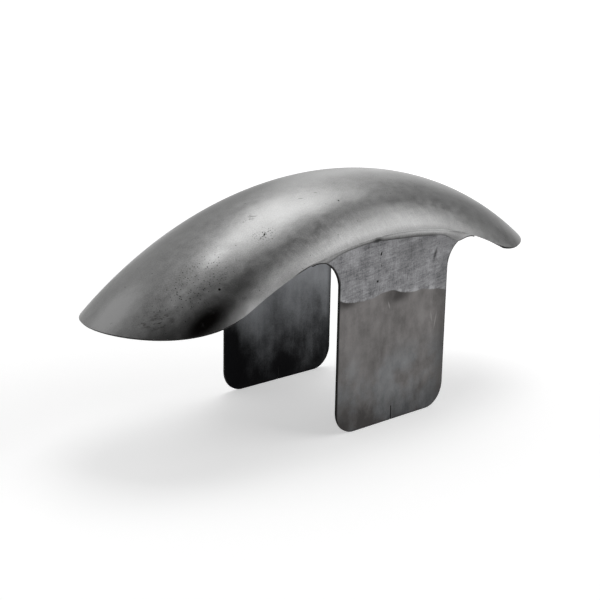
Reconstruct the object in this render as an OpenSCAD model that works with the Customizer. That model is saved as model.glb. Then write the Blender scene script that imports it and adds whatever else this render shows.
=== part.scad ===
// Motorcycle front fender in bare sheet steel.
// A constant arched section is rolled about the wheel axis, its two ends are
// cut round, and a flat blank plate with open shoulders is butt welded under
// each lower edge. The welds are ground flush on the outside.
// Frame: +Z up with the plates' lower edges at z = 0, +X towards the shorter
// end, +Y to the left. The origin is under the middle of the whole part.

/* [Sheet] */
// Thickness of the steel sheet of the shell and of both plates
sheet_t = 2; // [1.2:0.1:3]

/* [Shell] */
// Radius of the crown line about the wheel axis, outside
crown_r = 360; // [300:1:420]
// Depth of the arched section from the crown down to the lower edge
skirt_drop = 40.5; // [36:0.5:46]
// How far the lower edge stands out past the outer face of a plate
edge_over = 1.6; // [0.6:0.1:2.4]
// Height of the crown above the lower edges of the plates
crown_h = 199.5; // [180:0.5:220]
// Lean of the shell about the wheel axis, towards the longer end
lean_a = 2.5; // [0:0.5:8]

/* [Round ends] */
// Angle from the middle of the shell to the centre of each end cut
end_a = 25.8; // [20:0.1:32]
// Height of the centre of each end cut above the crown line
end_lift = 10.5; // [5:0.5:25]

/* [Side plates] */
// Width over the outer faces of the two plates
over_plates = 140; // [130:1:150]
// Length of a plate along the fender
plate_w = 127; // [100:1:150]
// How far the middle of the plates stands ahead of the wheel axis
plate_ahead = 3; // [0:0.5:20]
// Radius of the two lower corners
corner_r = 20; // [5:1:35]
// Radius of the open shoulder between a plate and the shell
notch_r = 24; // [12:1:35]
// Height of the shoulder's thin end under the shell
ear_h = 1.2; // [0.8:0.1:3]
// Width of the centre slit in the lower edge
slit_w = 1; // [0.6:0.1:2]
// Height of the centre slit
slit_h = 12; // [6:1:20]

/* [Ground welds] */
// Gap left between the shell's lower edge and what is welded under it
seam_gap = 0.02; // [0.01:0.01:0.2]
// Radius of the rounded face the weld is ground to
weld_r = 3.5; // [3:0.5:6]
// Depth of the bevel filed on a plate's upper edge to take the weld
bevel_d = 0.4; // [0.2:0.1:0.8]

/* [Hidden] */
$fn = 180;
// spare length and angle by which a cutting body passes the work
spare = 5;
spare_a = 1;
// radius of the shell's lower edge about the wheel axis
edge_r = crown_r - skirt_drop;
// radius of the upper edges of the plates and of the welds
seam_r = edge_r - seam_gap;
// half width of the shell at its lower edge, outside
edge_y = over_plates / 2 + edge_over;
// radius of the arched section, through the crown and the lower edges
section_r = (pow(edge_y, 2) + pow(skirt_drop, 2)) / (2 * skirt_drop);
// centre of the arched section, as a radius from the wheel axis
section_at = crown_r - section_r;
// angle of the section at the lower edge, from the crown
edge_a = acos((section_r - skirt_drop) / section_r);
// centre of an end cut as a radius from the wheel axis
end_at = crown_r + end_lift;
// radius of an end cut, touching the lower edge without a corner
end_r = norm([end_at - edge_r, edge_y]);
// angle from the centre of an end cut to the tip of the shell
tip_a = acos((pow(crown_r, 2) + pow(end_at, 2) - pow(end_r, 2)) / (2 * crown_r * end_at));
// reach of the two tips from the wheel axis
tip_back = crown_r * sin(end_a + tip_a + lean_a);
tip_front = crown_r * sin(end_a + tip_a - lean_a);
// wheel axis in the frame of the whole part
wheel_x = (tip_back - tip_front) / 2;
wheel_z = crown_h - crown_r;
// inner and outer faces of a plate
plate_out = over_plates / 2;
plate_in = plate_out - sheet_t;
// centres of the two open shoulders, from the wheel axis
notch_at = seam_r - notch_r - ear_h;
notch_x = plate_w / 2 + notch_r;
front_x = plate_ahead + notch_x;
back_x = plate_ahead - notch_x;
function notch_a(x) = asin(x / notch_at);
function notch_z(x) = notch_at * cos(notch_a(x));
// ends of a plate's upper edge, as angles about the wheel axis
ear_front = notch_a(front_x);
ear_back = notch_a(back_x);
// centre of the round weld section, from the middle plane and the wheel axis
weld_y = (section_r - weld_r) * sin(edge_a);
weld_at = section_at + (section_r - weld_r) * cos(edge_a);
// radius at which the weld's face runs out on the plate
crease_r = weld_at - sqrt(pow(weld_r, 2) - pow(plate_out - weld_y, 2));

// Turns a section drawn with its height along y into a band about the wheel
// axis. It reaches from angle a1 to angle a2, measured from straight up.
module about_wheel(a1, a2) {
    translate([wheel_x, 0, wheel_z])
    rotate([90, 0, 0])
    rotate(90 - a2)
    rotate_extrude(angle = a2 - a1)
    rotate(-90)
    children();
}

// Puts a body lying about a centre on the wheel axis at angle a and radius r.
module at_wheel(a, r) {
    translate([wheel_x + r * sin(a), 0, wheel_z + r * cos(a)])
    children();
}

// Cross section of the shell: a ring cut off level at the lower edge.
module shell_section() {
    translate([0, section_at])
    intersection() {
        difference() {
            circle(r = section_r);
            circle(r = section_r - sheet_t);
        }
        translate([-section_r - spare, section_r - skirt_drop])
        square([2 * (section_r + spare), skirt_drop + spare]);
    }
}

// Waste cut off one end: what lies between two angles and outside the ball.
module end_waste(a1, a2, a_ball) {
    difference() {
        about_wheel(a1, a2)
        translate([-section_r - spare, edge_r - spare])
        square([2 * (section_r + spare), skirt_drop + 2 * spare]);
        at_wheel(a_ball, end_at)
        sphere(r = end_r);
    }
}

// Rolled shell with both ends cut round.
module shell() {
    ball_front = end_a - lean_a;
    ball_back = -end_a - lean_a;
    end_front = ball_front + tip_a + spare_a;
    end_back = ball_back - tip_a - spare_a;
    color("silver")
    difference() {
        about_wheel(end_back, end_front)
        shell_section();
        end_waste(ball_front, end_front + spare_a, ball_front);
        end_waste(end_back - spare_a, ball_back, ball_back);
    }
}

// Blank of one plate below the shoulders, from the wheel axis.
module plate_blank() {
    low = -wheel_z;
    translate([plate_ahead - plate_w / 2 + corner_r, low])
    square([plate_w - 2 * corner_r, seam_r]);
    translate([plate_ahead - plate_w / 2, low + corner_r])
    square([plate_w, seam_r]);
    for (s = [-1, 1])
    translate([plate_ahead + s * (plate_w / 2 - corner_r), low + corner_r])
    circle(r = corner_r);
}

// Sector that ends the shoulders square to the shell's lower edge.
module shoulder_sector() {
    far = 2 * seam_r;
    intersection() {
        polygon([
            [0, 0],
            [far * sin(ear_back), far * cos(ear_back)],
            [far * sin(ear_front), far * cos(ear_front)]
        ]);
        translate([back_x, notch_z(front_x)])
        square([front_x - back_x, seam_r]);
    }
}

// Outline of one plate seen from the side, from the wheel axis.
module plate_outline() {
    difference() {
        intersection() {
            circle(r = seam_r);
            union() {
                plate_blank();
                shoulder_sector();
            }
        }
        for (x = [back_x, front_x])
        translate([x, notch_z(x)])
        circle(r = notch_r);
        translate([plate_ahead - slit_w / 2, -wheel_z - spare])
        square([slit_w, slit_h + spare]);
    }
}

// Space of the weld in section, from the plate's bevel outwards. The bevel
// runs from the weld's lower border up to the plate's upper edge.
module groove_section() {
    polygon([
        [plate_out, crease_r],
        [plate_out - bevel_d, seam_r],
        [plate_out - bevel_d, seam_r + spare],
        [plate_out + spare, seam_r + spare],
        [plate_out + spare, crease_r]
    ]);
}

// Mirrors a body built on the left to side s, 1 for left and -1 for right.
module on_side(s) {
    mirror([0, s > 0 ? 0 : 1, 0])
    children();
}

// One side plate with its upper edge bevelled for the weld.
module plate(s) {
    color("slategray")
    on_side(s)
    difference() {
        translate([wheel_x, plate_out, wheel_z])
        rotate([90, 0, 0])
        linear_extrude(sheet_t)
        plate_outline();
        about_wheel(ear_back - spare_a, ear_front + spare_a)
        groove_section();
    }
}

// Weld along the outside of one seam, ground round from the shell to the plate.
module weld(s) {
    color("lightsteelblue")
    on_side(s)
    difference() {
        about_wheel(ear_back, ear_front)
        intersection() {
            translate([weld_y, weld_at])
            circle(r = weld_r);
            groove_section();
            translate([plate_in, crease_r])
            square([sheet_t + weld_r, seam_r - crease_r]);
        }
        for (x = [back_x, front_x])
        translate([wheel_x + x, plate_out + weld_r, wheel_z + notch_z(x)])
        rotate([90, 0, 0])
        cylinder(r = notch_r, h = sheet_t + weld_r);
    }
}

shell();
plate(1);  // plate_left
plate(-1);  // plate_right
weld(1);  // weld_left
weld(-1);  // weld_right
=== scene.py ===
import math

import bmesh
import bpy
from mathutils import Matrix, Vector


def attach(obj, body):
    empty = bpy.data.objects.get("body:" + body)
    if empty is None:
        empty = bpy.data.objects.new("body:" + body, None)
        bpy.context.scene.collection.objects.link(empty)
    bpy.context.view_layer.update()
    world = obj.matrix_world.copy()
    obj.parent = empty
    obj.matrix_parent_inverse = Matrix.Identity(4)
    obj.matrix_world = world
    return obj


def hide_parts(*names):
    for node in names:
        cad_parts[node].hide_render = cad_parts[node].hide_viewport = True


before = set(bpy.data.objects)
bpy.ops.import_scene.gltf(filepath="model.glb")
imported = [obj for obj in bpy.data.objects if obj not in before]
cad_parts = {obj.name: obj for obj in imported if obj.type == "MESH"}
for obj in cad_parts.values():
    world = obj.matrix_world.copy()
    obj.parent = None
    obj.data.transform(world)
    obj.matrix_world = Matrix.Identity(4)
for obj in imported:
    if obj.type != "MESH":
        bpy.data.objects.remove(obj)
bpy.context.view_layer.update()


# Shell. One piece of 2 mm mild steel sheet, pressed to an arc across the tyre and
# rolled to the round of the wheel, with both ends trimmed to a round nose. It is
# left bare, sanded by hand, and both side plates are welded under its edges.
MM = 0.001
sheet_t = 2 * MM
rim_round = 0.06 * MM
whole_h = 199.5 * MM

# Radii and the names in _at are measured from the wheel's axis, and angles from the
# crown. The section is one arc, the same all the way, so the lower edge keeps its radius.
crown_r = 360 * MM
skirt_drop = 40.5 * MM
edge_y = 71.6 * MM
edge_r = crown_r - skirt_drop
section_r = (edge_y**2 + skirt_drop**2) / (2 * skirt_drop)
section_at = crown_r - section_r
edge_a = math.acos((section_r - skirt_drop) / section_r)

# Each end is round, as if cut by a ball whose centre stands just above the crown.
end_a = math.radians(25.8)
end_above = 10.5 * MM
end_at = crown_r + end_above
end_r = math.hypot(end_at - edge_r, edge_y)
tip_a = math.acos((crown_r**2 + end_at**2 - end_r**2) / (2 * crown_r * end_at))

# The shell leans back round the wheel, which makes the end over -X the lower one.
lean_a = math.radians(2.5)
reach_a = end_a + tip_a
wheel_x = crown_r / 2 * (math.sin(reach_a + lean_a) - math.sin(reach_a - lean_a))
wheel_z = whole_h - crown_r

# Half the length and width of the flat blank, without its round ends: as long as the
# crown is between their centres, and as wide as the arc from lower edge to lower edge.
blank_l = crown_r * end_a
blank_w = section_r * edge_a
cells_l = 162
cells_w = 84
nose_steps = 104
close_by = 0.1 * MM
same_place = 0.005 * MM


def pick_edges(test):
    """Selects the edges with both ends in the right place, in the piece in edit mode."""
    bpy.ops.mesh.select_all(action="DESELECT")
    bpy.ops.mesh.select_mode(type="EDGE")
    mesh = bmesh.from_edit_mesh(bpy.context.edit_object.data)
    for edge in mesh.edges:
        edge.select_set(all(test(end.co) for end in edge.verts))
    mesh.select_flush_mode()
    bmesh.update_edit_mesh(bpy.context.edit_object.data)


def add_modifier(piece, kind, **settings):
    """Adds a modifier with its settings and applies it."""
    bpy.context.view_layer.objects.active = piece
    modifier = piece.modifiers.new(kind.title(), kind)
    for name, value in settings.items():
        setattr(modifier, name, value)
    bpy.ops.object.modifier_apply(modifier=modifier.name)


def round_edges(piece):
    """Takes the sharpness off a sheet's cut edges, as a file does."""
    add_modifier(
        piece, "BEVEL", width=rim_round, segments=2, limit_method="ANGLE", angle_limit=math.radians(60)
    )


def smooth(piece, degrees):
    """Shades a piece smooth, apart from edges sharper than this."""
    bpy.ops.object.select_all(action="DESELECT")
    piece.select_set(True)
    bpy.context.view_layer.objects.active = piece
    bpy.ops.object.shade_smooth_by_angle(angle=math.radians(degrees))


bpy.ops.object.select_all(action="DESELECT")
bpy.ops.mesh.primitive_grid_add(x_subdivisions=cells_l, y_subdivisions=cells_w, size=2)
shell = bpy.context.active_object
shell.name = "fender_shell"
bpy.ops.object.mode_set(mode="EDIT")
bpy.ops.transform.resize(value=(blank_l, blank_w, 1))
for side in (-1, 1):
    nose_x = side * blank_l
    pick_edges(lambda at: abs(at.x - nose_x) < close_by and at.y > -close_by)
    bpy.ops.mesh.spin(steps=nose_steps, angle=side * math.pi, center=(nose_x, 0, 0), axis=(0, 0, 1))
bpy.ops.mesh.select_all(action="SELECT")
bpy.ops.mesh.remove_doubles(threshold=same_place)
bpy.ops.mesh.normals_make_consistent(inside=False)
bpy.ops.object.mode_set(mode="OBJECT")
if shell.data.polygons[0].normal.z < 0:
    shell.data.flip_normals()
add_modifier(shell, "SOLIDIFY", thickness=sheet_t, offset=-1)
round_edges(shell)


def roll(at):
    """Presses a point of the flat blank to the section and rolls it round the wheel.

    Past the end of the straight part, points run out in spokes to the ball-cut rim.
    """
    arc_r = section_r + at.z
    half_a = math.acos((edge_r - section_at) / arc_r)
    past = max(abs(at.x) - blank_l, 0)
    out = math.hypot(past, at.y)
    if past > 0 and out > 0:
        rim_a = half_a * abs(at.y) / out
        rim_at = section_at + arc_r * math.cos(rim_a)
        rim_y = arc_r * math.sin(rim_a)
        reach = (rim_at**2 + end_at**2 + rim_y**2 - end_r**2) / (2 * rim_at * end_at)
        along = end_a + out / blank_w * math.acos(min(reach, 1))
        across = out / blank_w * rim_a
    else:
        along = end_a * min(abs(at.x) / blank_l, 1)
        across = half_a * abs(at.y) / blank_w
    along = math.copysign(along, at.x) - lean_a
    at_r = section_at + arc_r * math.cos(across)
    return Vector((
        wheel_x + at_r * math.sin(along),
        math.copysign(arc_r * math.sin(across), at.y),
        wheel_z + at_r * math.cos(along),
    ))


blank_uv = shell.data.uv_layers[0]
blank_uv.name = "blank"
for loop in shell.data.loops:
    flat = shell.data.vertices[loop.vertex_index].co
    blank_uv.data[loop.index].uv = (flat.x, flat.y)
OUTSIDE, INSIDE, RIM = 0, 1, 2
for face in shell.data.polygons:
    up = face.normal.z
    face.material_index = OUTSIDE if up > 0.5 else INSIDE if up < -0.5 else RIM
for vertex in shell.data.vertices:
    vertex.co = roll(vertex.co)
smooth(shell, 20)


def linear(hex_colour):
    """Turns an sRGB colour such as #A0A0A0 to the linear values that nodes take."""
    parts = [int(hex_colour[i:i + 2], 16) / 255 for i in (1, 3, 5)]
    return [c / 12.92 if c <= 0.04045 else ((c + 0.055) / 1.055) ** 2.4 for c in parts] + [1]


def plug(tree, value, socket):
    """Sets a socket to a value, or links it to a node's first live output."""
    if isinstance(value, bpy.types.Node):
        value = next(output for output in value.outputs if output.enabled)
    if isinstance(value, bpy.types.NodeSocket):
        tree.links.new(value, socket)
    else:
        socket.default_value = value


def add_node(tree, kind, inputs=None, **settings):
    """Adds a node with its settings, and sets or links its inputs by name or number."""
    node = tree.nodes.new(kind)
    for name, value in settings.items():
        setattr(node, name, value)
    for name, value in (inputs or {}).items():
        plug(tree, value, node.inputs[name])
    return node


def new_material(name, metallic, roughness):
    """Starts a material and returns it with its tree and its shader."""
    material = bpy.data.materials.new(name)
    material.use_nodes = True
    surface = material.node_tree.nodes["Principled BSDF"]
    surface.inputs["Metallic"].default_value = metallic
    surface.inputs["Roughness"].default_value = roughness
    return material, material.node_tree, surface


def grain(tree, where, size, detail=3, turn=(0, 0, 0)):
    """Noise with grains of this size in mm along x, y and z, turned by these degrees."""
    stretch = add_node(tree, "ShaderNodeMapping", {
        "Vector": where, "Rotation": [math.radians(a) for a in turn],
        "Scale": [side * MM for side in size],
    }, vector_type="TEXTURE")
    return add_node(tree, "ShaderNodeTexNoise", {
        "Vector": stretch, "Scale": 1, "Detail": detail, "Roughness": 0.55,
    })


def zone(tree, strength, *edges):
    """This strength where each value has passed, softly, from its start to its end."""
    for value, start, end in edges:
        strength = add_node(tree, "ShaderNodeMapRange", {
            "Value": value, "From Min": start, "From Max": end, "To Max": strength,
        }, interpolation_type="SMOOTHSTEP")
    return strength


def mark(tree, where, centre, size, turn=(0, 0, 0), core=0.5, strength=1):
    """A soft spot, full in its core and gone past its rim. Centre and half sizes are in mm."""
    spot = add_node(tree, "ShaderNodeMapping", {
        "Vector": where, "Location": [at * MM for at in centre],
        "Rotation": [math.radians(a) for a in turn], "Scale": [side * MM for side in size],
    }, vector_type="TEXTURE")
    off = add_node(tree, "ShaderNodeVectorMath", {0: spot}, operation="LENGTH")
    return zone(tree, strength, (off, 1, core))


def most(tree, marks):
    """The strongest of several marks at each point."""
    top = marks[0]
    for other in marks[1:]:
        top = add_node(tree, "ShaderNodeMath", {0: top, 1: other}, operation="MAXIMUM")
    return top


def shade(tree, tone, patterns):
    """Adds patterns that lie about 0.5 to a tone, each by its own amount either way."""
    for pattern, amount in patterns:
        part = add_node(tree, "ShaderNodeMath", {
            0: pattern, 1: amount, 2: -amount / 2,
        }, operation="MULTIPLY_ADD")
        tone = add_node(tree, "ShaderNodeMath", {0: tone, 1: part}, operation="ADD")
    return tone


def lift(tree, tone, marks):
    """Adds marks to a tone, each by its own amount, which is negative to darken."""
    for spot, amount in marks:
        tone = add_node(tree, "ShaderNodeMath", {
            0: spot, 1: amount, 2: tone,
        }, operation="MULTIPLY_ADD")
    return tone


def coat(tree, colour, coats):
    """Lays other colours over the first in turn, each by its share."""
    for share, other in coats:
        colour = add_node(tree, "ShaderNodeMix", {
            0: share, 6: colour, 7: other,
        }, data_type="RGBA")
    return colour


def relief(tree, surface, layers):
    """Stacks bump layers, each a height and how deep it is in mm."""
    bump = None
    for height, depth in layers:
        inputs = {"Height": height, "Distance": depth * MM}
        if bump:
            inputs["Normal"] = bump
        bump = add_node(tree, "ShaderNodeBump", inputs)
    plug(tree, bump, surface.inputs["Normal"])


# Mild steel sheet, sanded by hand: a silvery grey with soft clouds. Its lighter
# patches are painted highlight, its dull ones painted shade, and a dark patch low on
# the longer end is a painted dark reflection; painted shade also darkens it towards
# each seam. Short strokes run across it above the plates, where a flap disc ran over
# the seam. The grit and the strokes are finer than the render shows, so they are
# drawn 1 mm wide.
sanded_steel, tree, surface = new_material("sanded_sheet_steel", 1, 0.36)
sheet = add_node(tree, "ShaderNodeUVMap", uv_map="blank")
clouds = grain(tree, sheet, (40, 30, 30))
blotches = grain(tree, sheet, (8, 6, 6), 4)
fine = grain(tree, sheet, (1.1, 1, 1), 2)
strokes = grain(tree, sheet, (1.2, 9, 10), 4, (0, 0, 8))
waves = grain(tree, sheet, (70, 50, 50), 1)
place = add_node(tree, "ShaderNodeSeparateXYZ", {0: sheet})
from_middle = add_node(tree, "ShaderNodeMath", {0: place.outputs["X"]}, operation="ABSOLUTE")
from_crown = add_node(tree, "ShaderNodeMath", {0: place.outputs["Y"]}, operation="ABSOLUTE")
patchy = add_node(tree, "ShaderNodeMapRange", {
    "Value": blotches, "From Min": 0.35, "From Max": 0.6, "To Min": 0.3,
}, interpolation_type="SMOOTHSTEP")
ground = zone(tree, patchy, (from_crown, 56 * MM, 68 * MM), (from_middle, 130 * MM, 80 * MM))
brushed = add_node(tree, "ShaderNodeMath", {0: strokes, 1: 0.5}, operation="SUBTRACT")
brushed = add_node(tree, "ShaderNodeMath", {0: brushed, 1: ground}, operation="MULTIPLY")
# Painted highlight: lighter patches for the soft box's reflection on the longer end and along its
# lower edge.
painted_highlight_patches = most(tree, [
    mark(tree, sheet, (-230, -6, 0), (44, 22, 9), core=0.1),
    mark(tree, sheet, (-152, -37, 0), (20, 9, 9), core=0, strength=0.6),
    mark(tree, sheet, (-197, -42, 0), (22, 9, 9), core=0, strength=0.55),
    mark(tree, sheet, (-170, -82, 0), (30, 8, 9), (0, 0, -8), core=0),
])
# Painted shade: dull patches that dim the reflection across the crown and at the ends.
painted_dull_shade = most(tree, [
    mark(tree, sheet, (-208, 36, 0), (56, 22, 9), core=0),
    mark(tree, sheet, (-180, -30, 0), (24, 11, 9), core=0, strength=0.55),
    mark(tree, sheet, (-20, 12, 0), (150, 18, 9), core=0, strength=0.6),
    mark(tree, sheet, (40, -28, 0), (140, 22, 9), core=0.3, strength=0.6),
    mark(tree, sheet, (200, -72, 0), (34, 18, 9), core=0.2),
])
tone = shade(tree, 0.5, [(clouds, 0.35), (blotches, 0.5), (fine, 0.6)])
tone = lift(tree, tone, [(brushed, 0.7), (painted_highlight_patches, 0.65), (painted_dull_shade, -0.4)])
# Painted dark reflection: a dark patch low on the longer end, broken up by the blotches.
painted_dark_reflection = most(tree, [
    mark(tree, sheet, (-198, -69, 0), (50, 17, 9), (0, 0, -5), 0.15),
    mark(tree, sheet, (-155, -68, 0), (40, 11, 9), core=0, strength=0.45),
    mark(tree, sheet, (-229, -56, 0), (36, 18, 9), (0, 0, -35), 0, strength=0.5),
    mark(tree, sheet, (-114, -86, 0), (30, 9, 9), core=0, strength=0.35),
])
uneven = add_node(tree, "ShaderNodeMapRange", {
    "Value": blotches, "From Min": 0.1, "From Max": 0.5, "To Min": 0.6,
}, interpolation_type="SMOOTHSTEP")
painted_dark_reflection = add_node(tree, "ShaderNodeMath", {0: painted_dark_reflection, 1: uneven}, operation="MULTIPLY")
# Painted shade: the sheet darkens over its last 6 mm towards each seam, along the middle of the
# fender.
seam_painted_shade = zone(
    tree, 0.33, (from_crown, blank_w - 6 * MM, blank_w), (from_middle, 110 * MM, 70 * MM)
)

# Rolled-in pits, 1.5 mm apart where they crowd, with single dots, dashes and a smudge, and a thin line
# of painted shade along the lower edge.
pit_gap = 1.55 * MM
dot_gap = 10.5 * MM
pores = add_node(tree, "ShaderNodeTexVoronoi", {"Vector": sheet, "Scale": 1 / pit_gap})
pore_size = add_node(tree, "ShaderNodeSeparateColor", {0: pores.outputs["Color"]})
pitted = most(tree, [
    mark(tree, sheet, (-106, -45.5, 0), (14, 10, 9), core=0.2),
    mark(tree, sheet, (-101, -25, 0), (12, 6, 5), core=0.1, strength=0.5),
    mark(tree, sheet, (-178, -42, 0), (52, 24, 9), core=0.3, strength=0.5),
    mark(tree, sheet, (-222, -38, 0), (22, 14, 9), core=0, strength=0.5),
])
crowd = add_node(tree, "ShaderNodeMath", {0: pore_size, 1: pitted}, operation="ADD")
single = add_node(tree, "ShaderNodeTexVoronoi", {"Vector": sheet, "Scale": 1 / dot_gap})
pits_and_edge_shade = most(tree, [
    zone(tree, 1, (pores.outputs["Distance"], 0.42, 0.12), (crowd, 0.8, 1.4), (pitted, 0, 0.1)),
    zone(tree, 0.5, (single, 0.07, 0.04)),
    mark(tree, sheet, (-106.2, -45.6, 0), (2, 0.9, 1), (0, 0, 30)),
    mark(tree, sheet, (-169.8, -58.5, 0), (1.3, 1.3, 1)),
    mark(tree, sheet, (-24.3, -46.3, 0), (1, 1, 1)),
    mark(tree, sheet, (-98.5, -25.2, 0), (4.5, 0.7, 1), (0, 0, -35), strength=0.5),
    mark(tree, sheet, (-101.5, -27, 0), (3, 0.6, 1), (0, 0, -35), strength=0.4),
    mark(tree, sheet, (-52.4, -30.8, 0), (3, 0.6, 1), (0, 0, -20), strength=0.5),
    mark(tree, sheet, (-35.4, -30.4, 0), (2, 0.6, 1), (0, 0, -20), strength=0.5),
    # Painted shade: a thin dark line along the lower edge near the back shoulder.
    mark(tree, sheet, (-98, -86.2, 0), (19, 1.5, 1), core=0.3),
])
wisps = grain(tree, sheet, (7, 3, 3), 5, (0, 0, -40))
smudge = mark(tree, sheet, (-221, -40, 0), (20, 11, 3), (0, 0, -55), 0.2, strength=0.7)
smudge = zone(tree, smudge, (wisps, 0.5, 0.62))
colour = coat(tree, linear("#6F6F6E"), [
    (tone, linear("#B7B7B7")),
    (painted_dark_reflection, linear("#181514")),
    (seam_painted_shade, linear("#2B2B2B")),
    (pits_and_edge_shade, linear("#1E1D1C")),
    (smudge, linear("#3A3431")),
])
plug(tree, colour, surface.inputs["Base Color"])
buffed = add_node(tree, "ShaderNodeMapRange", {
    "Value": blotches, "From Min": 0.3, "From Max": 0.7, "To Min": 0.33, "To Max": 0.4,
}, interpolation_type="SMOOTHSTEP")
plug(tree, buffed, surface.inputs["Roughness"])
relief(tree, surface, [(waves, 1.2), (blotches, 0.15), (fine, 0.06), (brushed, 0.08)])
shell.data.materials.append(sanded_steel)

# Mill scale left by hot rolling, rubbed but never sanded, on the faces that turn
# inwards: a blue-black oxide, cloudy with oil and drips, with a few dark specks.
# Painted shade takes it close to black lower down, low towards the back and along the
# edges, with lighter patches of painted light.
mill_scale, tree, surface = new_material("mill_scale_steel", 1, 0.45)
body = add_node(tree, "ShaderNodeTexCoord").outputs["Object"]
place = add_node(tree, "ShaderNodeSeparateXYZ", {0: body})
along, height = place.outputs["X"], place.outputs["Z"]
clouds = grain(tree, body, (24, 24, 30), 4)
drips = grain(tree, body, (5, 5, 45), 3)
fine = grain(tree, body, (1.2, 1.2, 1.2), 2)
# Painted shade: darker from 105 mm down, close to black at 10 mm.
tone = add_node(tree, "ShaderNodeMapRange", {
    "Value": height, "From Min": 10 * MM, "From Max": 105 * MM, "To Min": 0.03, "To Max": 0.72,
}, interpolation_type="SMOOTHSTEP")
tone = shade(tree, tone, [(clouds, 0.75), (drips, 0.2), (fine, 0.2)])
# Painted shade: dark patches low towards the back of the face.
low_painted_shade = most(tree, [
    mark(tree, body, (-60, 68, 15), (85, 12, 70), core=0),
    mark(tree, body, (24, 68, 12), (28, 12, 20), core=0, strength=0.8),
    mark(tree, body, (-42, 68, 34), (21, 12, 44), core=0.2),
])
# Painted light: lighter patches in the middle and low on the face's painted shade.
painted_light_patches = most(tree, [
    mark(tree, body, (-18, 68, 68), (26, 12, 60), core=0),
    mark(tree, body, (-5, 68, 23), (20, 12, 22), core=0),
])
tone = lift(tree, tone, [(low_painted_shade, -0.4), (painted_light_patches, 0.28)])
# Painted shade over the back part, along the front edge and at the foot, and a few dark specks.
edge_shade_and_specks = most(tree, [
    zone(tree, 0.8, (along, -28 * MM, -50 * MM)),
    zone(tree, 0.7, (along, 73 * MM, 78.6 * MM)),
    zone(tree, 0.8, (height, 8 * MM, 0)),
    mark(tree, body, (9, 68, 137), (1.6, 6, 1.6)),
    mark(tree, body, (-10, 68, 127), (1, 6, 2.4), (0, 20, 0)),
    mark(tree, body, (-9, 68, 112), (1.2, 6, 1.2)),
    mark(tree, body, (-2, 68, 122), (0.7, 6, 6), (0, -35, 0)),
])
colour = coat(tree, linear("#08080A"), [
    (zone(tree, 1, (tone, -0.12, 1.05)), linear("#888A8D")),
    (edge_shade_and_specks, linear("#0E0F11")),
])
plug(tree, colour, surface.inputs["Base Color"])
relief(tree, surface, [(clouds, 0.4), (fine, 0.05)])
shell.data.materials.append(mill_scale)

# Sheared edge: the torn edge that the guillotine and the nibbler leave, painted close
# to black beside the faces as painted shade.
sheared_edge, tree, surface = new_material("sheared_steel_edge", 1, 0.6)
body = add_node(tree, "ShaderNodeTexCoord").outputs["Object"]
torn = grain(tree, body, (1.5, 1.5, 1.5), 3)
colour = coat(tree, linear("#080808"), [(torn, linear("#2A2929"))])
plug(tree, colour, surface.inputs["Base Color"])
relief(tree, surface, [(torn, 0.1)])
shell.data.materials.append(sheared_edge)
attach(shell, "root")
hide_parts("shell")


# Side plates. Flat blanks sheared from 2 mm mill finish sheet, with round lower
# corners and a saw slit that marks the middle. Their upper edges are cut to the
# shell's edge, with an open shoulder at each end, and butt welded under it.
plate_out = 70 * MM
plate_w = 127 * MM
plate_ahead = 3 * MM
corner_r = 20 * MM
slit_w = 1 * MM
slit_h = 12 * MM
seam_gap = 0.02 * MM
seam_r = edge_r - seam_gap

# Each shoulder is an arc of a little over a quarter turn, centred outside the plate,
# with a short straight ear, ear_h high, between it and the seam.
notch_r = 24 * MM
ear_h = 1.2 * MM
notch_at = seam_r - notch_r - ear_h
front_x = plate_ahead + plate_w / 2 + notch_r
back_x = plate_ahead - plate_w / 2 - notch_r
ear_front = math.asin(front_x / notch_at)
ear_back = math.asin(back_x / notch_at)
front_z = notch_at * math.cos(ear_front)
back_z = notch_at * math.cos(ear_back)
notches = ((wheel_x + back_x, wheel_z + back_z), (wheel_x + front_x, wheel_z + front_z))

middle_x = wheel_x + plate_ahead
back_side = middle_x - plate_w / 2
front_side = middle_x + plate_w / 2

# Lengths of the straight sides and of half the foot.
side_line = front_z + wheel_z - corner_r
back_line = back_z + wheel_z - corner_r
lower_run = (plate_w - slit_w) / 2 - corner_r
corner_steps = 24
notch_steps = 40
seam_steps = 96
ACROSS = (0, 1, 0)
quarter = math.pi / 2


def start_outline(name, place):
    """Starts a piece as one point, ready to be drawn in edit mode."""
    bpy.ops.object.select_all(action="DESELECT")
    bpy.ops.mesh.primitive_plane_add(size=1 * MM)
    piece = bpy.context.active_object
    piece.name = name
    bpy.ops.object.mode_set(mode="EDIT")
    bpy.ops.mesh.select_mode(type="VERT")
    bpy.ops.mesh.merge(type="CENTER")
    bpy.ops.transform.translate(value=place)
    return piece


def draw_line(step):
    """Extrudes what is selected by one step: the last point, or a filled outline."""
    bpy.ops.mesh.extrude_region_move(TRANSFORM_OT_translate={"value": step})


def draw_arc(centre, axis, angle, steps):
    """Draws on round a centre. Spin turns the other way, so the angle is negated."""
    bpy.ops.mesh.spin(steps=steps, angle=-angle, center=centre, axis=axis)


def close_outline():
    """Joins the last point to the first and fills the outline."""
    bpy.ops.mesh.select_all(action="SELECT")
    bpy.ops.mesh.remove_doubles(threshold=same_place)
    bpy.ops.mesh.edge_face_add()


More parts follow.
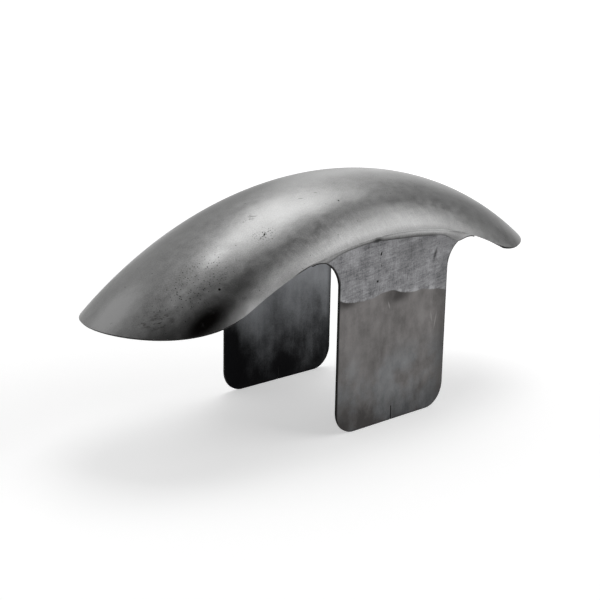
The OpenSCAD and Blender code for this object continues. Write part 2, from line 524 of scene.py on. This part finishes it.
plate_left = start_outline("side_plate_left", (middle_x + slit_w / 2, plate_out, slit_h))
draw_line((0, 0, -slit_h))
draw_line((lower_run, 0, 0))
draw_arc((front_side - corner_r, plate_out, corner_r), ACROSS, -quarter, corner_steps)
draw_line((0, 0, side_line))
draw_arc((wheel_x + front_x, plate_out, wheel_z + front_z), ACROSS, quarter + ear_front, notch_steps)
draw_line((ear_h * math.sin(ear_front), 0, ear_h * math.cos(ear_front)))
draw_arc((wheel_x, plate_out, wheel_z), ACROSS, ear_back - ear_front, seam_steps)
draw_line((-ear_h * math.sin(ear_back), 0, -ear_h * math.cos(ear_back)))
draw_arc((wheel_x + back_x, plate_out, wheel_z + back_z), ACROSS, quarter - ear_back, notch_steps)
draw_line((0, 0, -back_line))
draw_arc((back_side + corner_r, plate_out, corner_r), ACROSS, -quarter, corner_steps)
draw_line((lower_run, 0, 0))
draw_line((0, 0, slit_h))
draw_line((slit_w, 0, 0))
close_outline()
draw_line((0, -sheet_t, 0))
bpy.ops.mesh.select_all(action="SELECT")
bpy.ops.mesh.normals_make_consistent(inside=False)
bpy.ops.object.mode_set(mode="OBJECT")
round_edges(plate_left)


def copy_to_right(piece, name):
    """Copies a piece of the left side to the right, mirrored, with its own mesh."""
    bpy.ops.object.select_all(action="DESELECT")
    piece.select_set(True)
    bpy.context.view_layer.objects.active = piece
    bpy.ops.object.duplicate()
    other = bpy.context.active_object
    other.name = name
    bpy.ops.object.mode_set(mode="EDIT")
    bpy.ops.mesh.select_all(action="SELECT")
    bpy.ops.transform.mirror(constraint_axis=(False, True, False), center_override=(0, 0, 0))
    bpy.ops.mesh.normals_make_consistent(inside=False)
    bpy.ops.object.mode_set(mode="OBJECT")
    return other


plate_right = copy_to_right(plate_left, "side_plate_right")


def notch_edge_shade(tree, body):
    """Painted shade in a strip along the cut edges of both shoulders. Sizes are in mm."""
    strip_w = 1.4
    all_through = 4000
    rim = notch_r / MM + strip_w
    return most(tree, [
        mark(tree, body, (x / MM, 0, z / MM), (rim, all_through, rim), core=0.955)
        for x, z in notches
    ])


# Outer faces of the plates, cold rolled with a dull mill finish: a mid grey that is
# faintly brown, bluer lower down, with oil clouds and faint drips, and darker at the
# front edge. Painted shade darkens the foot and the lower corners.
mill_steel, tree, surface = new_material("mill_finish_steel", 1, 0.42)
body = add_node(tree, "ShaderNodeTexCoord").outputs["Object"]
place = add_node(tree, "ShaderNodeSeparateXYZ", {0: body})
along, height = place.outputs["X"], place.outputs["Z"]
clouds = grain(tree, body, (26, 30, 26), 5)
drips = grain(tree, body, (4, 20, 60), 3)
patches = grain(tree, body, (9, 9, 14), 4)
fine = grain(tree, body, (1.1, 1.1, 1.1), 2)
# Painted shade: darker towards the foot, from 36 mm down.
tone = add_node(tree, "ShaderNodeMapRange", {
    "Value": height, "From Min": -4 * MM, "From Max": 36 * MM, "To Min": 0.1, "To Max": 0.5,
}, interpolation_type="SMOOTHSTEP")
tone = shade(tree, tone, [(clouds, 0.9), (drips, 0.2), (patches, 0.8), (fine, 0.2)])
bluish = zone(tree, 1, (height, 75 * MM, 45 * MM), (clouds, 0.4, 0.6))
brown = coat(tree, linear("#444241"), [(tone, linear("#848180"))])
blue = coat(tree, linear("#434446"), [(tone, linear("#848586"))])
# Darker patches at the front edge and below the ground zone; those at the lower corners are painted
# shade.
dark_patches_and_shade = most(tree, [
    mark(tree, body, (-40, -70, 110), (18, 5, 9), core=0.2),
    mark(tree, body, (18, -70, 107), (24, 5, 11), core=0.2),
    mark(tree, body, (78, -70, 55), (20, 5, 75), core=0, strength=0.85),
    mark(tree, body, (-52, -70, 15), (40, 5, 34), core=0, strength=0.6),
    mark(tree, body, (76, -70, 15), (30, 5, 30), core=0, strength=0.6),
])
streaky = add_node(tree, "ShaderNodeMapRange", {
    "Value": patches, "From Min": 0.2, "From Max": 0.6, "To Min": 0.35, "To Max": 0.8,
}, interpolation_type="SMOOTHSTEP")
dark_patches_and_shade = add_node(tree, "ShaderNodeMath", {0: dark_patches_and_shade, 1: streaky}, operation="MULTIPLY")
milled = coat(tree, brown, [(bluish, blue), (dark_patches_and_shade, linear("#2C2A29"))])

# Above a wavy line, 100 to 114 mm up, the face is ground bright with a flap disc:
# crossed scratches and sweeps that rise to the front, drawn at 1 mm so that they show.
border_z = 100 * MM
border_h = 14 * MM
share = add_node(tree, "ShaderNodeMapRange", {
    "Value": along, "From Min": back_side, "From Max": front_side,
})
wave = add_node(tree, "ShaderNodeFloatCurve", {"Value": share})
line = wave.mapping.curves[0]
line.points[0].location = (0, 0.9)
line.points[1].location = (1, 0.05)
for x, y in ((0.24, 0.54), (0.44, 0.78), (0.62, 0.46), (0.75, 0.42)):
    line.points.new(x, y)
wave.mapping.update()
border = add_node(tree, "ShaderNodeMath", {
    0: wave, 1: border_h, 2: border_z,
}, operation="MULTIPLY_ADD")
above = add_node(tree, "ShaderNodeMath", {0: height, 1: border}, operation="SUBTRACT")
above = shade(tree, above, [(patches, 3 * MM)])
ground = zone(tree, 1, (above, -0.5 * MM, 0.7 * MM))
scratches = grain(tree, body, (0.9, 9, 9), 3, (0, 6, 0))
crossing = grain(tree, body, (7, 9, 0.8), 3, (0, -2, 0))
sweeps = grain(tree, body, (16, 9, 1.8), 4, (0, -9, 0))
areas = grain(tree, body, (22, 9, 16), 3)
bright = shade(tree, 0.53, [
    (scratches, 0.7), (crossing, 0.6), (sweeps, 0.8), (areas, 0.9), (patches, 0.8), (fine, 0.8),
])
fresh = zone(tree, 1, (above, 5 * MM, 0.5 * MM), (patches, 0.45, 0.7))
bright = lift(tree, bright, [(fresh, 0.5)])
polished = coat(tree, linear("#4A4A4C"), [(bright, linear("#979799"))])
# Dirt spots, with painted shade along the crease under the weld, in thin strips up both side edges, at
# the foot and along the shoulders' cut edges.
dirt_and_shade = most(tree, [
    mark(tree, body, (-2.7, -70, 143.3), (1, 5, 2.2), (0, 20, 0)),
    mark(tree, body, (-2.2, -70, 133.6), (1, 5, 1), strength=0.6),
    mark(tree, body, (-6.2, -70, 121.2), (1.5, 5, 1.3)),
    mark(tree, body, (62.6, -70, 134.5), (2.8, 5, 9), (0, 20, 0), 0, strength=0.8),
    mark(tree, body, (-9, -70, 154), (7, 5, 1.8), core=0, strength=0.8),
    mark(tree, body, (26, -70, 150.6), (22, 5, 3.2), core=0, strength=0.4),
    mark(tree, body, (74, -70, 118), (14, 5, 30), core=0, strength=0.3),
    mark(tree, body, (38, -70, 143), (34, 5, 13), core=0.2, strength=0.3),
    mark(tree, body, (84, -70, 143), (20, 5, 16), core=0, strength=0.35),
    zone(tree, 0.85, (along, -47 * MM, -48 * MM), (height, 132 * MM, 126 * MM)),
    zone(tree, 0.7, (along, 76.6 * MM, 78.6 * MM), (height, 132 * MM, 126 * MM)),
    zone(tree, 0.5, (height, 2 * MM, 0)),
    notch_edge_shade(tree, body),
])
scuffs = most(tree, [
    mark(tree, body, (8.5, -70, 99), (1, 5, 5), (0, -20, 0), 0, strength=0.8),
    mark(tree, body, (66, -70, 76), (1.2, 5, 11), (0, 12, 0), 0, strength=0.6),
    mark(tree, body, (61, -70, 80), (1.2, 5, 8), (0, -14, 0), 0, strength=0.6),
    mark(tree, body, (49, -70, 88), (8, 5, 20), core=0, strength=0.3),
    mark(tree, body, (-24, -70, 62), (26, 5, 34), core=0, strength=0.25),
])
colour = coat(tree, milled, [
    (ground, polished),
    (dirt_and_shade, linear("#1E1E1E")),
    (scuffs, linear("#8E8C8B")),
])
plug(tree, colour, surface.inputs["Base Color"])
buffed = add_node(tree, "ShaderNodeMapRange", {"Value": ground, "To Min": 0.42, "To Max": 0.36})
plug(tree, buffed, surface.inputs["Roughness"])
scratched = add_node(tree, "ShaderNodeMath", {0: bright, 1: ground}, operation="MULTIPLY")
relief(tree, surface, [
    (clouds, 0.5), (scratched, 0.06), (fine, 0.04), (ground, -0.1), (dirt_and_shade, -0.3),
])
for plate, node in ((plate_left, "plate_left"), (plate_right, "plate_right")):
    smooth(plate, 20)
    for face in plate.data.polygons:
        outwards = face.normal.y * math.copysign(1, face.center.y)
        face.material_index = OUTSIDE if outwards > 0.9 else INSIDE if outwards < -0.9 else RIM
    for steel in (mill_steel, mill_scale, sheared_edge):
        plate.data.materials.append(steel)
    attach(plate, "root")
    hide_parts(node)


# Welds. A bead along the outside of each seam, from the shell's lower edge down
# to the plate, ground round with a flap disc so that shell and plate run into one.
# The crease under it is darkened with painted shade. Its round touches
# the shell's arc from inside at the edge, so that the one runs on into the other.
weld_r = 3.5 * MM
weld_y = (section_r - weld_r) * math.sin(edge_a)
weld_at = section_at + (section_r - weld_r) * math.cos(edge_a)
top_a = math.asin((seam_r - weld_at) / weld_r)
crease_a = math.acos((plate_out - weld_y) / weld_r)
top_y = weld_y + weld_r * math.cos(top_a)
bead_h = seam_r - weld_at + weld_r * math.sin(crease_a)
bead_steps = 128
round_steps = 32

weld_left = start_outline("seam_weld_left", (wheel_x, plate_out, wheel_z + seam_r))
draw_line((0, top_y - plate_out, 0))
draw_arc((wheel_x, weld_y, wheel_z + weld_at), (1, 0, 0), -top_a - crease_a, round_steps)
close_outline()
bpy.ops.transform.rotate(
    value=-ear_front, orient_axis="Y", orient_type="GLOBAL", center_override=(wheel_x, 0, wheel_z),
)
draw_arc((wheel_x, 0, wheel_z), ACROSS, ear_back - ear_front, bead_steps)
bpy.ops.mesh.select_all(action="SELECT")
bpy.ops.mesh.normals_make_consistent(inside=False)
bpy.ops.object.mode_set(mode="OBJECT")

# The bead's own map: how far along the fender, and how far down towards the crease.
bead_uv = weld_left.data.uv_layers.new(name="bead")
for loop in weld_left.data.loops:
    at = weld_left.data.vertices[loop.vertex_index].co
    down = (seam_r - math.hypot(at.x - wheel_x, at.z - wheel_z)) / bead_h
    bead_uv.data[loop.index].uv = (at.x, down)


def ground_depth(x):
    """How deep the weld was ground by hand at x in mm, against its even depth."""
    places = (-80, -62, -45, -12, 8, 20, 44, 60, 70, 88, 112)
    depths = (2.2, 1.2, 0.8, 0.84, 1.2, 1.3, 1.26, 1.1, 0.95, 1.5, 2.2)
    x = min(max(x, places[0]), places[-1])
    for i in range(len(places) - 1):
        if x <= places[i + 1]:
            share = (x - places[i]) / (places[i + 1] - places[i])
            share = (1 - math.cos(math.pi * share)) / 2
            return depths[i] + share * (depths[i + 1] - depths[i])


for vertex in weld_left.data.vertices:
    spoke = Vector((vertex.co.x - wheel_x, vertex.co.z - wheel_z))
    depth = (seam_r - spoke.length) * ground_depth(vertex.co.x / MM)
    spoke = spoke.normalized() * (seam_r - depth)
    vertex.co.x, vertex.co.z = wheel_x + spoke.x, wheel_z + spoke.y
for x, z in notches:
    bpy.ops.object.select_all(action="DESELECT")
    bpy.ops.mesh.primitive_cylinder_add(
        vertices=4 * notch_steps, radius=notch_r, depth=10 * MM,
        location=(x, plate_out, z), rotation=(quarter, 0, 0),
    )
    cutter = bpy.context.active_object
    add_modifier(weld_left, "BOOLEAN", object=cutter, operation="DIFFERENCE", solver="EXACT")
    bpy.data.objects.remove(cutter)
weld_right = copy_to_right(weld_left, "seam_weld_right")

# Ground weld metal: the shell's brushed silver, lightened at the seam as painted
# light, which painted shade takes dull and then black towards the crease, most of
# all near one spot in the back half.
ground_weld, tree, surface = new_material("ground_weld_steel", 1, 0.38)
body = add_node(tree, "ShaderNodeTexCoord").outputs["Object"]
along = add_node(tree, "ShaderNodeSeparateXYZ", {0: body}).outputs["X"]
bead = add_node(tree, "ShaderNodeUVMap", uv_map="bead")
down = add_node(tree, "ShaderNodeSeparateXYZ", {0: bead}).outputs["Y"]
strokes = grain(tree, body, (0.9, 10, 12), 3)
blotches = grain(tree, body, (8, 8, 8), 4)
fine = grain(tree, body, (1.1, 1, 1), 2)
# Painted light at the seam and painted shade towards the crease: the tone runs from light at the top
# to dark lower down, and changes along the fender.
upper = add_node(tree, "ShaderNodeMapRange", {
    "Value": along, "From Min": -20 * MM, "From Max": 50 * MM, "To Min": 0.5, "To Max": 0.88,
}, interpolation_type="SMOOTHSTEP")
lower = add_node(tree, "ShaderNodeMapRange", {
    "Value": along, "From Min": 55 * MM, "From Max": 80 * MM, "To Min": 0.25, "To Max": 0.6,
}, interpolation_type="SMOOTHSTEP")
tone = add_node(tree, "ShaderNodeMapRange", {
    "Value": down, "From Min": 0.2, "From Max": 0.75, "To Min": upper, "To Max": lower,
}, interpolation_type="SMOOTHSTEP")
tone = shade(tree, tone, [(strokes, 0.3), (fine, 0.5)])
# Painted shade: where the crease is darkest.
crease_shade_spots = most(tree, [
    mark(tree, body, (-24, -71, 154), (40, 5, 40), core=0.3, strength=0.9),
    mark(tree, body, (20, -71, 152), (50, 5, 40), core=0.6, strength=0.55),
])
# Painted shade: black in the crease, broken up by the blotches, and along the shoulders' cut edges.
crease_shade = shade(tree, zone(tree, 1, (down, 0.6, 1)), [(blotches, 1)])
crease_shade = most(tree, [
    add_node(tree, "ShaderNodeMath", {0: crease_shade, 1: crease_shade_spots}, operation="MULTIPLY"),
    mark(tree, body, (-9, -71, 155.2), (9, 5, 3.4), core=0.1),
    mark(tree, body, (86, -71, 147), (24, 5, 12), core=0.1, strength=0.35),
    notch_edge_shade(tree, body),
])
colour = coat(tree, linear("#3A3A39"), [
    (tone, linear("#B7B7B7")),
    (crease_shade, linear("#0F0E0E")),
])
plug(tree, colour, surface.inputs["Base Color"])
relief(tree, surface, [(blotches, 0.2), (strokes, 0.06)])
for weld, node in ((weld_left, "weld_left"), (weld_right, "weld_right")):
    smooth(weld, 30)
    weld.data.materials.append(ground_weld)
    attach(weld, "root")
    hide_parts(node)


# Studio. A wide pale paper floor that runs past the horizon, a large soft box above
# and beyond the fender, one to its right and a dim one low behind it, in a plain
# room. The paper keeps the fender's shadow.
floor_w = 60
bpy.ops.object.select_all(action="DESELECT")
bpy.ops.mesh.primitive_plane_add(size=floor_w)
floor = bpy.context.active_object
floor.name = "floor"
paper, tree, surface = new_material("floor_paper", 0, 1)
surface.inputs["Base Color"].default_value = linear("#E6E6E6")
surface.inputs["Specular IOR Level"].default_value = 0
surface.inputs["Emission Color"].default_value = linear("#FFFFFF")

# The paper looks white to the camera and in reflections, less so beside the fender.
path = add_node(tree, "ShaderNodeLightPath")
seen = add_node(tree, "ShaderNodeMath", {
    0: path.outputs["Is Camera Ray"], 1: path.outputs["Is Glossy Ray"],
}, operation="ADD")
seen = add_node(tree, "ShaderNodeMath", {
    0: seen, 1: path.outputs["Is Transmission Ray"],
}, operation="ADD", use_clamp=True)
floor_at = add_node(tree, "ShaderNodeTexCoord").outputs["Object"]
away = add_node(tree, "ShaderNodeVectorMath", {0: floor_at}, operation="LENGTH")
glow = add_node(tree, "ShaderNodeMapRange", {
    "Value": away, "From Min": 0.4, "From Max": 3.5, "To Min": 0.5, "To Max": 0.9,
}, interpolation_type="SMOOTHSTEP")
glow = add_node(tree, "ShaderNodeMath", {0: seen, 1: glow}, operation="MULTIPLY")
plug(tree, glow, surface.inputs["Emission Strength"])
floor.data.materials.append(paper)

aim = Vector((0, 0, 0.11))
lamp_distance = 6


def add_softbox(name, azimuth, elevation, width, height, radiance):
    """Hangs a soft box that faces the fender. Azimuth runs from +Y towards +X."""
    azimuth, elevation = math.radians(azimuth), math.radians(elevation)
    out = Vector((
        math.cos(elevation) * math.sin(azimuth),
        math.cos(elevation) * math.cos(azimuth),
        math.sin(elevation),
    ))
    bpy.ops.object.light_add(type="AREA", location=aim + lamp_distance * out)
    lamp = bpy.context.active_object
    lamp.name = name
    lamp.rotation_euler = out.to_track_quat("Z", "Y").to_euler()
    lamp.data.shape = "RECTANGLE"
    lamp.data.size = width
    lamp.data.size_y = height
    lamp.data.energy = radiance * math.pi * width * height
    lamp.visible_camera = False


add_softbox("overhead_softbox", azimuth=60.7, elevation=68.9, width=3.2, height=4.6, radiance=2.6)
add_softbox("side_softbox", azimuth=132.3, elevation=32.1, width=5.1, height=3.2, radiance=2.35)
add_softbox("far_softbox", azimuth=50.6, elevation=24, width=2.8, height=4.2, radiance=0.62)

# The room: dim on the camera's side, lighter beyond the fender, pale at the horizon.
world = bpy.data.worlds.new("studio_room")
bpy.context.scene.world = world
world.use_nodes = True
tree = world.node_tree
way = add_node(tree, "ShaderNodeTexCoord").outputs["Generated"]
way = add_node(tree, "ShaderNodeSeparateXYZ", {0: way})
walls = add_node(tree, "ShaderNodeMapRange", {
    "Value": way.outputs["Y"], "From Min": -0.3, "From Max": 0.7, "To Min": 0.06, "To Max": 0.54,
}, interpolation_type="SMOOTHSTEP")
room = add_node(tree, "ShaderNodeMapRange", {
    "Value": way.outputs["Z"], "From Min": 0.02, "From Max": 0.16, "To Min": 0.9, "To Max": walls,
}, interpolation_type="SMOOTHSTEP")
tree.nodes["Background"].inputs["Color"].default_value = linear("#FFFFFF")
plug(tree, room, tree.nodes["Background"].inputs["Strength"])

# The camera stands at the photograph's place, a little above the fender and near its
# longer end, and leans by about one degree.
camera_place = (-0.73535, -0.75241, 0.37004)
camera_turn = -43.3765
camera_dip = 14.9074
camera_lean = 1.1352
bpy.ops.object.camera_add(location=camera_place)
camera = bpy.context.active_object
camera.name = "camera"
camera.rotation_euler = (
    Matrix.Rotation(math.radians(camera_turn), 3, "Z")
    @ Matrix.Rotation(math.radians(90 - camera_dip), 3, "X")
    @ Matrix.Rotation(math.radians(camera_lean), 3, "Z")
).to_euler()
camera.data.lens = 77.54
camera.data.sensor_width = 36
bpy.context.scene.camera = camera
bpy.context.scene.view_settings.view_transform = "Standard"
